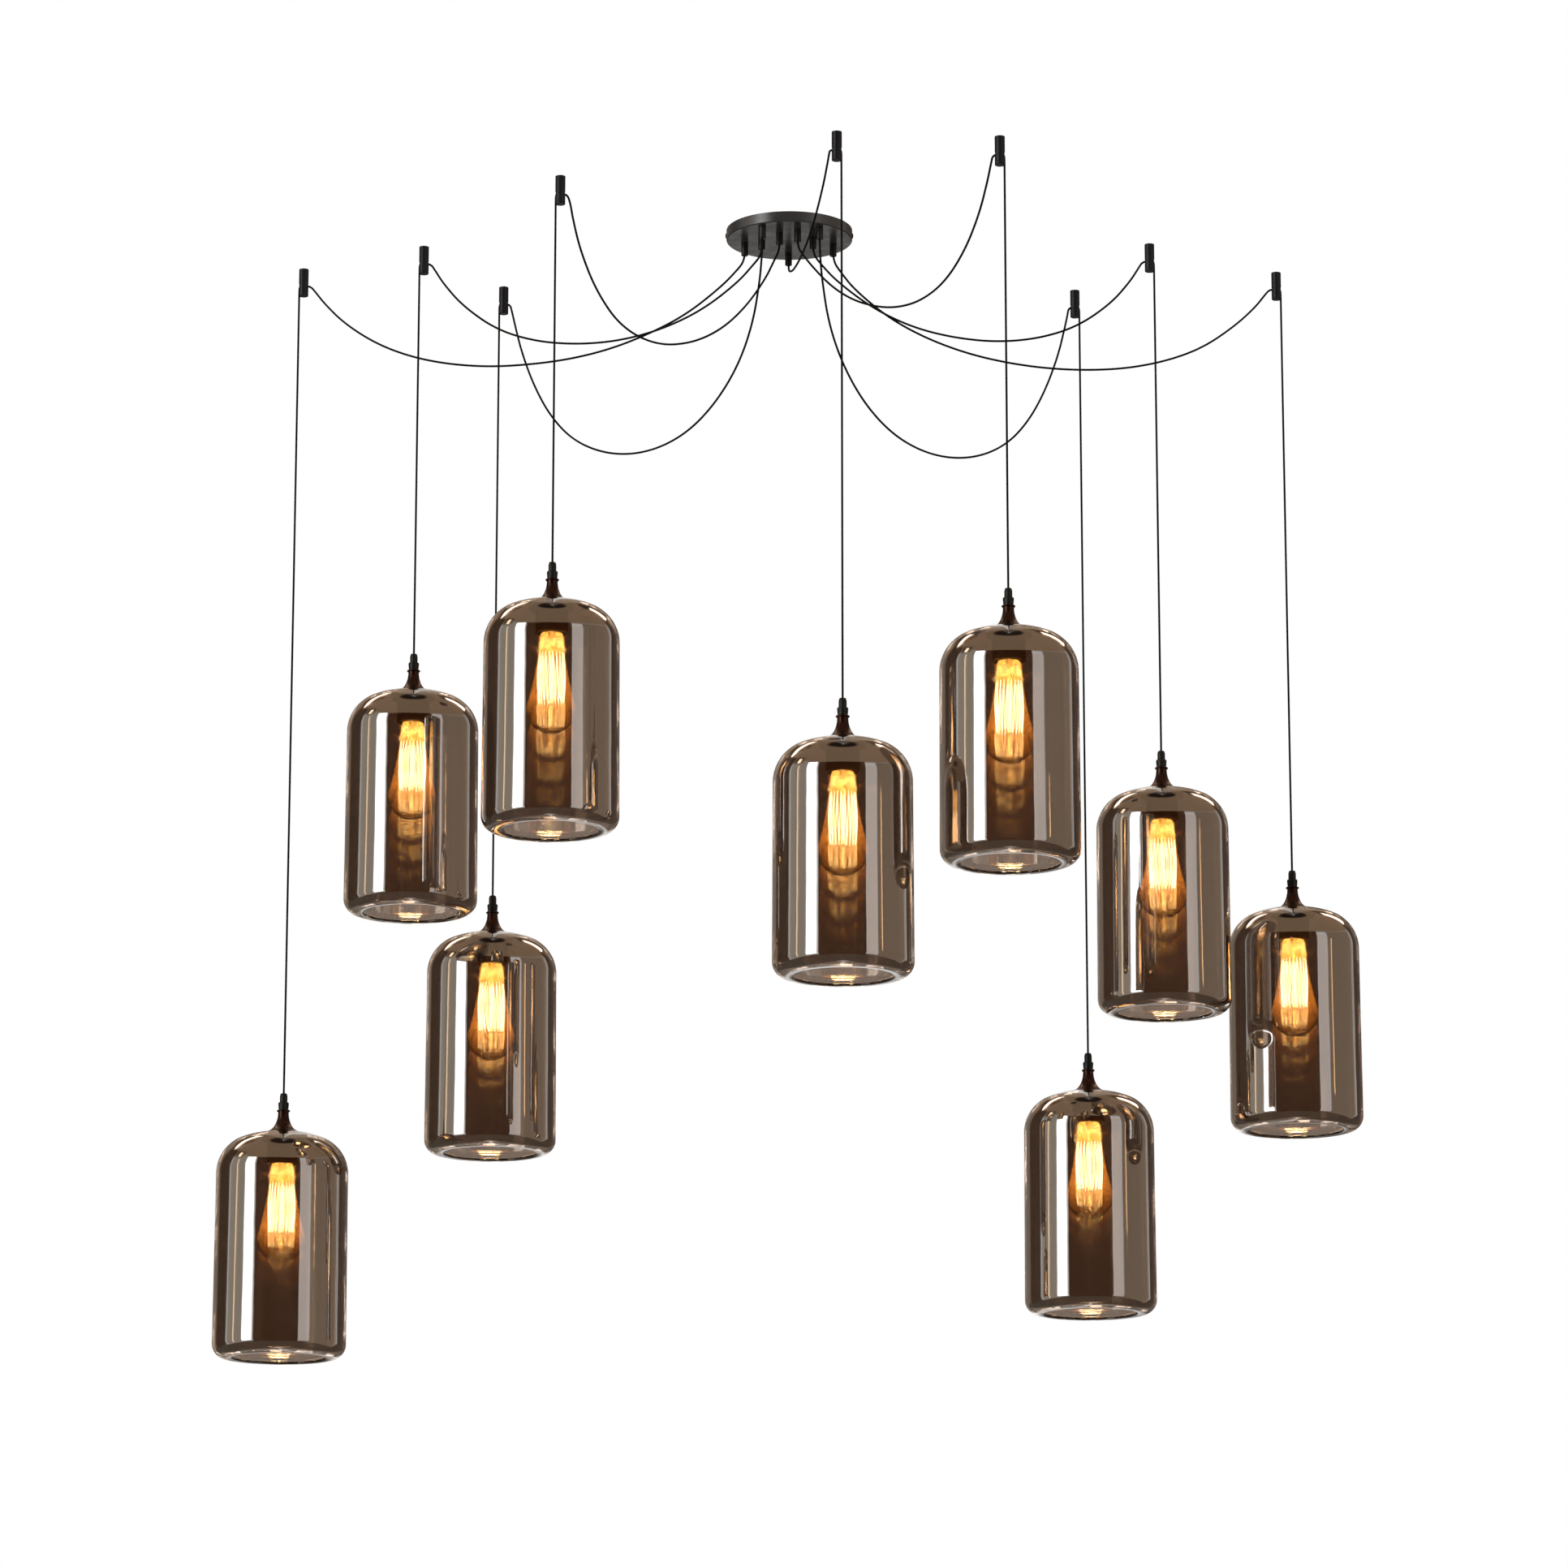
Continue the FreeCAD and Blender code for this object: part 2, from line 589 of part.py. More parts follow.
crown_lean = "sin(%g)" % crown_slope_share
crown_fall = "cos(%g)" % crown_slope_share
shoulder_lean = "sin(%g)" % shoulder_slope_share
shoulder_fall = "cos(%g)" % shoulder_slope_share
shoulder_radius = "(shade_radius - shade_taper)"
crown_radius = "(shade_radius - shade_crown_inset)"
mouth_radius = "(shade_radius - shade_corner - shade_lip)"
glass_shade = turned_body("glass_shade", [
    ("shade_hole_radius", "0"),
    ("shade_hole_radius", "0 - shade_wall"),
    ("shade_land_radius", "0 - shade_wall", "shade_crown_bend - shade_wall", -1),
    (crown_radius + " - shade_wall * " + crown_lean,
     "0 - shade_crown_drop - shade_wall * " + crown_fall, "shade_shoulder_bend - shade_wall", -1),
    (shoulder_radius + " - shade_wall * " + shoulder_lean,
     "0 - shade_shoulder_drop - shade_wall * " + shoulder_fall),
    ("shade_radius - shade_wall", "shade_corner - shade_height", "shade_corner - shade_wall", -1),
    ("shade_radius - shade_corner", "shade_wall - shade_height"),
    (mouth_radius, "shade_wall - shade_height"),
    (mouth_radius, "0 - shade_height"),
    ("shade_radius - shade_corner", "0 - shade_height", "shade_corner", 1),
    ("shade_radius", "shade_corner - shade_height"),
    (shoulder_radius, "0 - shade_shoulder_drop", "shade_shoulder_bend", 1),
    (crown_radius, "0 - shade_crown_drop", "shade_crown_bend", 1),
    ("shade_land_radius", "0"),
])

waist_lean = "sin(%g)" % waist_slope_share
waist_fall = "cos(%g)" % waist_slope_share
trumpet_cap = turned_body("trumpet_cap", [
    ("cap_radius - cap_wall", "0"),
    ("cap_radius", "0"),
    ("cap_radius", "cap_wall", "cap_flare_bend", -1),
    ("cap_waist_radius", "cap_waist_height", "cap_neck_bend", -1),
    ("cap_neck_radius", "cap_height - 2 * cap_bead_radius"),
    ("cap_neck_radius + cap_wall / 2", "cap_height - 2 * cap_bead_radius", "cap_bead_radius", 1),
    ("cap_neck_radius + cap_wall / 2 + cap_bead_radius", "cap_height - cap_bead_radius", "cap_bead_radius", 1),
    ("cap_neck_radius + cap_wall / 2", "cap_height"),
    ("nipple_radius + cord_gap", "cap_height"),
    ("nipple_radius + cord_gap", "cap_height - cap_wall"),
    ("cap_neck_radius - cap_wall", "cap_height - cap_wall"),
    ("cap_neck_radius - cap_wall", "cap_height - 2 * cap_bead_radius", "cap_neck_bend + cap_wall", 1),
    ("cap_waist_radius - cap_wall * " + waist_lean, "cap_waist_height - cap_wall * " + waist_fall,
     "cap_flare_bend + cap_wall", 1),
])

gland_top = "cap_height + gland_body_height + gland_nut_height"
gland_body = turned_body("gland_body", [
    ("nipple_radius + thread_gap", "cap_height"),
    ("gland_foot_radius", "cap_height"),
    ("gland_body_radius", "cap_height + gland_body_height - gland_shoulder"),
    ("gland_body_radius - gland_shoulder / 2", "cap_height + gland_body_height"),
    ("cord_radius + cord_gap", "cap_height + gland_body_height"),
    ("cord_radius + cord_gap", "cap_height + nipple_rise + thread_gap"),
    ("nipple_radius + thread_gap", "cap_height + nipple_rise + thread_gap"),
])
gland_nut = turned_body("gland_nut", [
    ("cord_radius + cord_gap", "cap_height + gland_body_height"),
    ("gland_nut_radius", "cap_height + gland_body_height"),
    ("gland_nut_radius", gland_top + " - gland_nut_taper"),
    ("gland_nut_tip_radius", gland_top),
    ("cord_radius + cord_gap", gland_top),
])

nipple = turned_body("nipple", [
    ("nipple_bore", "0 - holder_top_drop - holder_head"),
    ("nipple_radius", "0 - holder_top_drop - holder_head"),
    ("nipple_radius", "cap_height + nipple_rise"),
    ("nipple_bore", "cap_height + nipple_rise"),
])
holder_shell = turned_body("holder_shell", [
    ("nipple_radius + thread_gap", "0 - holder_top_drop"),
    ("nipple_radius + thread_gap", "0 - holder_top_drop - holder_head"),
    ("holder_radius - holder_wall", "0 - holder_top_drop - holder_head"),
    ("holder_radius - holder_wall", "0 - holder_depth"),
    ("holder_radius", "0 - holder_depth"),
    ("holder_radius", "0 - holder_top_drop"),
])
shade_ring = turned_body("shade_ring", [
    ("holder_radius + thread_gap", "0 - shade_wall"),
    ("holder_radius + thread_gap", "0 - shade_wall - shade_ring_height"),
    ("shade_ring_radius", "0 - shade_wall - shade_ring_height"),
    ("shade_ring_radius", "0 - shade_wall - shade_ring_height / 2"),
    ("shade_land_radius", "0 - shade_wall"),
])

# Insulating core of the holder with the well that the bulb's base screws into.
base_top = "(core_top_drop + core_floor + tongue_height + contact_gap)"
holder_core = turned_body("holder_core", [
    ("0", "0 - core_top_drop"),
    ("0", "0 - core_top_drop - core_floor"),
    ("base_radius + base_gap", "0 - core_top_drop - core_floor"),
    ("base_radius + base_gap", "0 - core_depth"),
    ("holder_radius - holder_wall - core_gap", "0 - core_depth"),
    ("holder_radius - holder_wall - core_gap", "0 - core_top_drop"),
])
contact_tongue = turned_body("contact_tongue", [
    ("0", "0 - core_top_drop - core_floor"),
    ("0", "0 - core_top_drop - core_floor - tongue_height"),
    ("tongue_radius", "0 - core_top_drop - core_floor - tongue_height"),
    ("tongue_radius", "0 - core_top_drop - core_floor"),
])

# Bulb: the screw base from its contact down, then the glass, the stem and the cage.
shell_top = "(%s + contact_height + insulator_height)" % base_top
shell_end = "(%s + base_shell_length)" % shell_top
bulb_contact = turned_body("bulb_contact", [
    ("0", "0 - " + base_top),
    ("0", "0 - %s - contact_height" % base_top),
    ("contact_radius", "0 - %s - contact_height" % base_top),
    ("contact_radius", "0 - " + base_top),
])
bulb_insulator = turned_body("bulb_insulator", [
    ("0", "0 - %s - contact_height" % base_top),
    ("0", "0 - " + shell_top),
    ("insulator_radius", "0 - " + shell_top),
    ("insulator_tip_radius", "0 - %s - contact_height" % base_top),
])
bulb_shell = turned_body("bulb_shell", [
    ("0", "0 - " + shell_top),
    ("0", "0 - %s - base_wall" % shell_top),
    ("base_radius - base_wall", "0 - %s - base_wall" % shell_top),
    ("base_radius - base_wall", "0 - " + shell_end),
    ("base_radius", "0 - " + shell_end),
    ("base_radius", "0 - %s - base_wall" % shell_top),
    ("insulator_radius", "0 - " + shell_top),
])

neck_foot = "(%s - neck_insert)" % shell_end
belly_drop = "(envelope_bottom_drop - envelope_radius)"
bulb_envelope = turned_body("bulb_envelope", [
    ("neck_radius", "0 - " + neck_foot),
    ("neck_radius - envelope_wall", "0 - " + neck_foot),
    ("neck_radius - envelope_wall", "0 - " + shell_end),
    ("neck_radius + neck_swell - envelope_wall", "0 - %s - neck_step" % shell_end,
     "envelope_swell_bend - envelope_wall", -1),
    ("envelope_radius - envelope_wall", "0 - " + belly_drop, "envelope_radius - envelope_wall", -1),
    ("0", "envelope_wall - envelope_bottom_drop"),
    ("0", "0 - envelope_bottom_drop", "envelope_radius", 1),
    ("envelope_radius", "0 - " + belly_drop, "envelope_swell_bend", 1),
    ("neck_radius + neck_swell", "0 - %s - neck_step" % shell_end),
    ("neck_radius", "0 - " + shell_end),
])

flare_radius = "(neck_radius - envelope_wall - stem_gap)"
stem_end = "(cage_top_drop + cage_height + stem_button_height / 2)"
bulb_stem = turned_body("bulb_stem", [
    ("0", "0 - " + neck_foot),
    ("0", "0 - " + stem_end),
    ("stem_button_radius", "0 - " + stem_end),
    ("stem_button_radius", "stem_button_height - " + stem_end),
    ("stem_radius", "stem_button_height - " + stem_end),
    ("stem_radius", "0 - %s - stem_flare_height - stem_taper" % neck_foot),
    (flare_radius, "0 - %s - stem_flare_height" % neck_foot),
    (flare_radius, "0 - " + neck_foot),
])

# Squirrel cage: bent wires round the stem. Each starts at a ring on the stem, runs out, down
# and back in to the stem's lower end.
filament_cage = new_body("filament_cage")
revolve(filament_cage, "cage_ring", [
    ("stem_radius", "0 - cage_top_drop"),
    ("stem_radius", "0 - cage_top_drop - cage_wire"),
    ("stem_radius + 2 * cage_wire", "0 - cage_top_drop - cage_wire"),
    ("stem_radius + 2 * cage_wire", "0 - cage_top_drop"),
])
wire_outline = new_sketch(filament_cage, "XZ_Plane", "wire_outline")
cage_low = "(cage_top_drop + cage_height - stem_button_height)"
draw_outline(wire_outline, [
    ("stem_radius", "0 - cage_top_drop"),
    ("stem_radius", "0 - cage_top_drop - cage_wire"),
    ("cage_radius - 2 * cage_wire", "0 - cage_top_drop - cage_wire"),
    ("cage_radius - cage_wire", "0 - cage_top_drop - 2 * cage_wire"),
    ("cage_radius - cage_wire", "2 * cage_wire - " + cage_low),
    ("cage_radius - 2 * cage_wire", "cage_wire - " + cage_low),
    ("stem_radius", "cage_wire - " + cage_low),
    ("stem_radius", "0 - " + cage_low),
    ("cage_radius - cage_wire", "0 - " + cage_low),
    ("cage_radius", "cage_wire - " + cage_low),
    ("cage_radius", "0 - cage_top_drop - cage_wire"),
    ("cage_radius - cage_wire", "0 - cage_top_drop"),
])
first_wire = extrude(filament_cage, wire_outline, "first_wire", "PartDesign::Pad", "cage_wire",
                     both_ways=True)
all_wires = filament_cage.newObject("PartDesign::PolarPattern", "all_wires")
all_wires.Originals = [first_wire]
all_wires.Axis = (wire_outline, ["V_Axis"])
all_wires.Angle = 360
all_wires.Occurrences = cage_wires_share
filament_cage.Tip = all_wires
doc.recompute()

# Each pendant's pieces are placed under its own hook.

PENDANT_PIECES = {
    "cap": [trumpet_cap, gland_body, gland_nut],
    "shade": [glass_shade],
    "lamp_holder": [nipple, holder_shell, shade_ring, holder_core, contact_tongue],
    "bulb": [bulb_envelope, bulb_shell, bulb_insulator, bulb_contact, bulb_stem, filament_cage],
}
drop_stand = "(hook_radius - groove_depth + groove_gap + cord_radius)"
nodes = [canopy_cover, mounting_bar, terminal_block, canopy_grips, canopy_screws, ceiling_hooks]
for number in hook_shares:
    across, along = hook_place(number)
    across += (" + " if drop_side_shares[number] > 0 else " - ") + drop_stand
    height = "0 - gland_drop_%d - (%s)" % (number, gland_top)
    for name, pieces in PENDANT_PIECES.items():
        nodes.append(placed("%s_%d" % (name, number), pieces, across, along, height))
doc.recompute()


def cord_tube(label, points, last_bend):
    """A round cord along straight runs joined by tangent arcs, with the last bend given."""
    edges, bends = [], []
    reached = points[0]
    for index in range(1, len(points) - 1):
        corner = points[index]
        back = points[index - 1] - corner
        ahead = points[index + 1] - corner
        turn = math.pi - back.getAngle(ahead)
        bend = arc_run_share * min(back.Length, ahead.Length) / math.tan(turn / 2)
        if index == len(points) - 2:
            bend = last_bend
        run = bend * math.tan(turn / 2)
        back.normalize()
        ahead.normalize()
        inward = (back + ahead).normalize()
        start, end = corner + back * run, corner + ahead * run
        middle = corner + inward * (bend / math.cos(turn / 2) - bend)
        edges.append(Part.LineSegment(reached, start).toShape())
        edges.append(Part.Arc(start, middle, end).toShape())
        bends.append(bend)
        reached = end
    edges.append(Part.LineSegment(reached, points[-1]).toShape())
    path = Part.Wire(edges)
    radius = value("cord_radius")
    ring = Part.Circle(points[0], points[1] - points[0], radius).toShape()
    tube = path.makePipeShell([Part.Wire(ring)], True, False)
    node = doc.addObject("Part::Feature", label)
    node.Shape = tube
    node.Placement = FreeCAD.Placement()
    expected = math.pi * radius * radius * path.Length
    print(label, "length %.1f" % path.Length, "volume over section x length %.4f" % (tube.Volume / expected),
          "bends", " ".join("%.1f" % bend for bend in bends))
    return node


bore_height = -value("hook_bore_drop")
turn_radius = value("cord_turn_radius")
for number, route in swag_shares.items():
    side = drop_side_shares[number]
    hook = FreeCAD.Vector(*[value(place) for place in hook_place(number)], bore_height)
    grip = FreeCAD.Vector(*[value(place) for place in grip_place(number)], 0)
    lip = hook - FreeCAD.Vector(side * value("hook_radius + swag_stand_off"), 0, 0)
    meeting = hook + FreeCAD.Vector(side * value("cord_meeting"), 0, 0)
    outward = FreeCAD.Vector(lip.x - grip.x, lip.y - grip.y, 0)
    up = FreeCAD.Vector(0, 0, 1)
    start = grip + up * value("grip_bore_depth - cover_height - grip_length")
    rise = up * outward.Length
    swag = [start] + [grip + outward * along + rise * height for along, height in route] + [lip, meeting]
    nodes.append(cord_tube("swag_cord_%d" % number, swag, turn_radius))

    corner = hook + FreeCAD.Vector(side * value(drop_stand), 0, 0)
    low = value("0 - gland_drop_%d - (%s) - holder_top_drop - holder_head - cord_tail" % (number, gland_top))
    drop = [meeting, corner, FreeCAD.Vector(corner.x, corner.y, low)]
    nodes.append(cord_tube("drop_cord_%d" % number, drop, turn_radius))
doc.recompute()

# Nothing is written unless every feature and every solid is sound.

for item in doc.Objects:
    if "Invalid" in item.State or "Error" in item.State:
        raise RuntimeError(item.Name + " is " + " ".join(item.State))
for node in nodes:
    if node.Shape.isNull() or not node.Shape.isValid() or not node.Shape.Solids:
        raise RuntimeError(node.Label + " has no valid solid")
for node in nodes:
    node.Shape.exportStep("parts/%s.step" % node.Label)
print(len(nodes), "nodes,", sum(len(node.Shape.Solids) for node in nodes), "solids")
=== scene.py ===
import math
import bmesh
import bpy
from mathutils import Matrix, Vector


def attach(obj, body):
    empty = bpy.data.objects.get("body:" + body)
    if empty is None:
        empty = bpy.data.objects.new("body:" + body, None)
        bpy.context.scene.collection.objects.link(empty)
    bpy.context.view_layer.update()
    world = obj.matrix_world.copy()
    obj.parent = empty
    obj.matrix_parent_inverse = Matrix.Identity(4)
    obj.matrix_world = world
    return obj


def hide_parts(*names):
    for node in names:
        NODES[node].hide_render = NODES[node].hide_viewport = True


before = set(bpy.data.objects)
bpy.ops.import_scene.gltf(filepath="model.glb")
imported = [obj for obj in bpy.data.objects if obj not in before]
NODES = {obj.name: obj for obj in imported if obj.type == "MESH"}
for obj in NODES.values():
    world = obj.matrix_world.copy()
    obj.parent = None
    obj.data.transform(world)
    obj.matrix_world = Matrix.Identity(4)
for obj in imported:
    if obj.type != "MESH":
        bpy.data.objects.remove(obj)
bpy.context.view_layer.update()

scene = bpy.context.scene
MM = 0.001
MICRON = 0.000001

# camera, level with the lowest pendants and looking a little up
camera_data = bpy.data.cameras.new("camera")
camera_data.sensor_width = 36
camera_data.lens = 130.435
camera_data.clip_end = 60
camera = bpy.data.objects.new("camera", camera_data)
camera.location = (-0.0066, -6.6867, -2.1799)
camera.rotation_euler = (math.radians(102.5), 0, 0)
scene.collection.objects.link(camera)
scene.camera = camera

# layout, in millimetres: hooks on the ceiling, the height of each gland under it, and the grips
# on the canopy; a drop cord leaves its hook on the side given
HOOKS = {
    1: (-611, 157), 2: (-454, 65), 3: (-363, 232), 4: (-274, -209), 5: (55, -371),
    6: (246, -354), 7: (447, 55), 8: (364, 246), 9: (614, 171),
}
GLANDS = {1: 1050, 2: 521, 3: 789, 4: 477, 5: 680, 6: 546, 7: 645, 8: 985, 9: 770}
GRIPS = {
    1: (-55, 10), 2: (-34, -14), 3: (-33, -59), 4: (-12, -33), 5: (-1, 49),
    6: (10, -45), 7: (29, -17), 8: (37, -55), 9: (54, 12),
}
SIDES = {1: -1, 2: -1, 3: -1, 4: -1, 5: 1, 6: 1, 7: 1, 8: 1, 9: 1}
# each swag's route in the plane through its grip and hook: (distance from the grip, height)
ROUTES = {
    1: ((0, -35), (11, -48), (31, -67), (74, -98), (121, -119), (171, -135), (223, -144),
        (275, -147), (327, -146), (379, -139), (429, -126), (477, -105), (520, -75), (547, -47),
        (560, -30)),
    2: ((0, -35), (11, -48), (30, -69), (73, -101), (123, -123), (176, -135), (230, -137),
        (284, -130), (334, -112), (377, -79), (402, -49), (413, -31)),
    3: ((0, -35), (1, -52), (4, -80), (15, -132), (38, -180), (74, -220), (119, -249),
        (170, -262), (223, -261), (275, -247), (323, -221), (361, -183), (390, -138), (412, -90),
        (424, -53), (430, -33)),
    4: ((0, -35), (8, -50), (21, -76), (50, -117), (87, -153), (132, -178), (182, -188),
        (231, -174), (266, -136), (289, -90), (300, -53), (304, -33)),
    5: ((0, -35), (16, -42), (45, -50), (95, -57), (150, -61), (205, -62), (260, -59),
        (312, -52), (362, -42), (396, -31), (411, -25)),
    6: ((0, -35), (11, -48), (30, -68), (66, -101), (106, -128), (149, -148), (195, -162),
        (243, -166), (290, -155), (329, -126), (357, -88), (373, -52), (380, -32)),
    7: ((0, -35), (10, -48), (30, -69), (73, -100), (122, -122), (174, -133), (228, -136),
        (281, -129), (331, -111), (374, -79), (399, -49), (410, -31)),
    8: ((0, -35), (1, -52), (4, -80), (15, -133), (39, -181), (75, -222), (121, -251),
        (173, -264), (227, -263), (280, -249), (327, -223), (365, -185), (395, -139), (418, -90),
        (430, -53), (436, -33)),
    9: ((0, -35), (10, -49), (28, -70), (71, -102), (119, -124), (171, -139), (223, -147),
        (277, -150), (330, -148), (383, -141), (435, -127), (483, -106), (526, -74), (554, -47),
        (567, -30)),
}
BORE_HEIGHT = -21
GLAND_HEIGHT = 49
CORD_RADIUS = 1.3
GRIP_INSIDE, GRIP_MOUTH = -23, -29
DROP_OFFSET, MEETING_OFFSET, LIP_OFFSET = 5.4, 2.5, 7.9
BORE_EXIT = -16
CORD_IN_GLAND = 5.5


def pendant_place(number):
    """The pendant's own origin, at the top of its glass."""
    x, y = HOOKS[number]
    return Vector((x + SIDES[number] * DROP_OFFSET, y, -GLANDS[number] - GLAND_HEIGHT)) * MM


def cord_curve(name, points, material):
    curve = bpy.data.curves.new(name, "CURVE")
    curve.dimensions = "3D"
    curve.bevel_depth = CORD_RADIUS * MM
    curve.bevel_resolution = 3
    curve.resolution_u = 12
    curve.use_fill_caps = True
    spline = curve.splines.new("NURBS")
    spline.points.add(len(points) - 1)
    for knot, point in zip(spline.points, points):
        knot.co = (point[0] * MM, point[1] * MM, point[2] * MM, 1)
    spline.order_u = 3
    spline.use_endpoint_u = True
    curve.materials.append(material)
    piece = bpy.data.objects.new(name, curve)
    scene.collection.objects.link(piece)
    return piece


def node_material(name):
    material = bpy.data.materials.new(name)
    material.use_nodes = True
    nodes = material.node_tree.nodes
    return material, nodes, material.node_tree.links, nodes["Principled BSDF"]


def add(nodes, kind, **settings):
    node = nodes.new(kind)
    for key, value in settings.items():
        setattr(node, key, value)
    return node


def noise(nodes, links, scale, detail=4.0, roughness=0.55, stretch=(1, 1, 1)):
    """Noise in the object's own coordinates, stretched along its axes."""
    where = add(nodes, "ShaderNodeTexCoord")
    shape = add(nodes, "ShaderNodeMapping")
    shape.inputs["Scale"].default_value = stretch
    texture = add(nodes, "ShaderNodeTexNoise")
    texture.inputs["Scale"].default_value = scale
    texture.inputs["Detail"].default_value = detail
    texture.inputs["Roughness"].default_value = roughness
    links.new(where.outputs["Object"], shape.inputs["Vector"])
    links.new(shape.outputs["Vector"], texture.inputs["Vector"])
    return texture


def ramp(nodes, links, source, low, high, start=0.3, end=0.7):
    """Map a grey value between two colours or two plain values."""
    node = add(nodes, "ShaderNodeValToRGB")
    for element, place, colour in zip(node.color_ramp.elements, (start, end), (low, high)):
        element.position = place
        element.color = (*colour, 1) if isinstance(colour, tuple) else (colour, colour, colour, 1)
    links.new(source, node.inputs["Fac"])
    return node


def bump(nodes, links, source, shader, distance):
    node = add(nodes, "ShaderNodeBump")
    node.inputs["Distance"].default_value = distance
    links.new(source, node.inputs["Height"])
    links.new(node.outputs["Normal"], shader.inputs["Normal"])
    return node


def painted(name, dark, light, rough, grain, depth, metallic=0.0, specular=0.5):
    """Paint or moulding: colour drift, uneven gloss and a fine grain, its depth in micrometres."""
    material, nodes, links, shader = node_material(name)
    drift = noise(nodes, links, 14.0)
    tone = ramp(nodes, links, drift.outputs["Fac"], dark, light)
    links.new(tone.outputs["Color"], shader.inputs["Base Color"])
    wear = noise(nodes, links, 60.0, 6.0)
    gloss = ramp(nodes, links, wear.outputs["Fac"], rough - 0.05, rough + 0.07)
    links.new(gloss.outputs["Color"], shader.inputs["Roughness"])
    fine = noise(nodes, links, grain, 2.0)
    bump(nodes, links, fine.outputs["Fac"], shader, depth * MICRON)
    shader.inputs["Metallic"].default_value = metallic
    shader.inputs["Specular IOR Level"].default_value = specular
    return material


def greys(dark, light, cool=0.0):
    """Two greys, each a little bluer or, with a negative value, a little warmer."""
    return (dark, dark, dark * (1 + cool)), (light, light, light * (1 + cool))


cord_black = painted("cord_black", *greys(0.002, 0.005), 0.6, 2500, 30, specular=0.12)
for number in HOOKS:
    side = SIDES[number]
    hook = Vector((*HOOKS[number], BORE_HEIGHT))
    grip = Vector((*GRIPS[number], 0))
    lip = hook - Vector((side * LIP_OFFSET, 0, 0))
    meeting = hook + Vector((side * MEETING_OFFSET, 0, 0))
    outward = Vector((lip.x - grip.x, lip.y - grip.y, 0)).normalized()
    up = Vector((0, 0, 1))
    start = grip + up * GRIP_INSIDE
    route = [grip + outward * along + up * height for along, height in ROUTES[number]]
    points = [start, *route, lip, meeting]
    swag = cord_curve("swag_%d" % number, points, cord_black)
    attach(swag, "fixture")
    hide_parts("swag_cord_%d" % number)

    corner = hook + Vector((side * DROP_OFFSET, 0, 0))
    foot = -GLANDS[number] - GLAND_HEIGHT - CORD_IN_GLAND
    points = [meeting, corner, corner + up * BORE_EXIT, Vector((corner.x, corner.y, foot))]
    drop = cord_curve("drop_%d" % number, points, cord_black)
    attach(drop, "pendant_%d" % number)
    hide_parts("drop_cord_%d" % number)


def arc(start, end, radius, turn, steps):
    """Points from start to just before end on the short arc; turn 1 is counter-clockwise."""
    (x0, y0), (x1, y1) = start, end
    dx, dy = x1 - x0, y1 - y0
    half = math.hypot(dx, dy) / 2
    away = math.sqrt(max(radius * radius - half * half, 0)) * turn
    cx = (x0 + x1) / 2 - dy / (2 * half) * away
    cy = (y0 + y1) / 2 + dx / (2 * half) * away
    first = math.atan2(y0 - cy, x0 - cx)
    last = math.atan2(y1 - cy, x1 - cx)
    sweep = (last - first) % (2 * math.pi)
    if turn < 0:
        sweep -= 2 * math.pi
    turns = [first + sweep * k / steps for k in range(steps)]
    return [(cx + radius * math.cos(a), cy + radius * math.sin(a)) for a in turns]


def outline(corners):
    """A profile from corners (r, z), or (r, z, radius, turn, steps) where an arc leaves one."""
    points = []
    for index, corner in enumerate(corners):
        if len(corner) == 2:
            points.append(corner)
        else:
            points += arc(corner[:2], corners[(index + 1) % len(corners)][:2], *corner[2:])
    return points


def lathe(name, profile, segments, materials, closed=True, slot_of=None):
    """Turn a profile in millimetres about Z into a smooth mesh in metres."""
    verts, faces, rings, slots = [], [], [], []
    for r, z in profile:
        if r < 1e-6:
            rings.append([len(verts)])
            verts.append((0, 0, z * MM))
        else:
            rings.append(list(range(len(verts), len(verts) + segments)))
            for k in range(segments):
                a = 2 * math.pi * k / segments
                verts.append((r * MM * math.cos(a), r * MM * math.sin(a), z * MM))
    pairs = [(k, k + 1) for k in range(len(rings) - 1)] + ([(len(rings) - 1, 0)] if closed else [])
    for a, b in pairs:
        low, high = rings[a], rings[b]
        if len(low) == 1 and len(high) == 1:
            continue
        for k in range(segments):
            n = (k + 1) % segments
            if len(low) == 1:
                faces.append((low[0], high[n], high[k]))
            elif len(high) == 1:
                faces.append((low[k], low[n], high[0]))
            else:
                faces.append((low[k], low[n], high[n], high[k]))
            slots.append(slot_of(a) if slot_of else 0)
    mesh = bpy.data.meshes.new(name)
    mesh.from_pydata(verts, [], faces)
    work = bmesh.new()
    work.from_mesh(mesh)
    bmesh.ops.recalc_face_normals(work, faces=work.faces)
    work.to_mesh(mesh)
    work.free()
    mesh.polygons.foreach_set("use_smooth", [True] * len(mesh.polygons))
    mesh.polygons.foreach_set("material_index", slots)
    mesh.set_sharp_from_angle(angle=math.radians(35))
    for material in materials:
        mesh.materials.append(material)
    return mesh


def put(name, mesh, number, body, node):
    piece = bpy.data.objects.new(name, mesh)
    piece.location = pendant_place(number)
    scene.collection.objects.link(piece)
    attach(piece, body)
    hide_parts(node)
    return piece


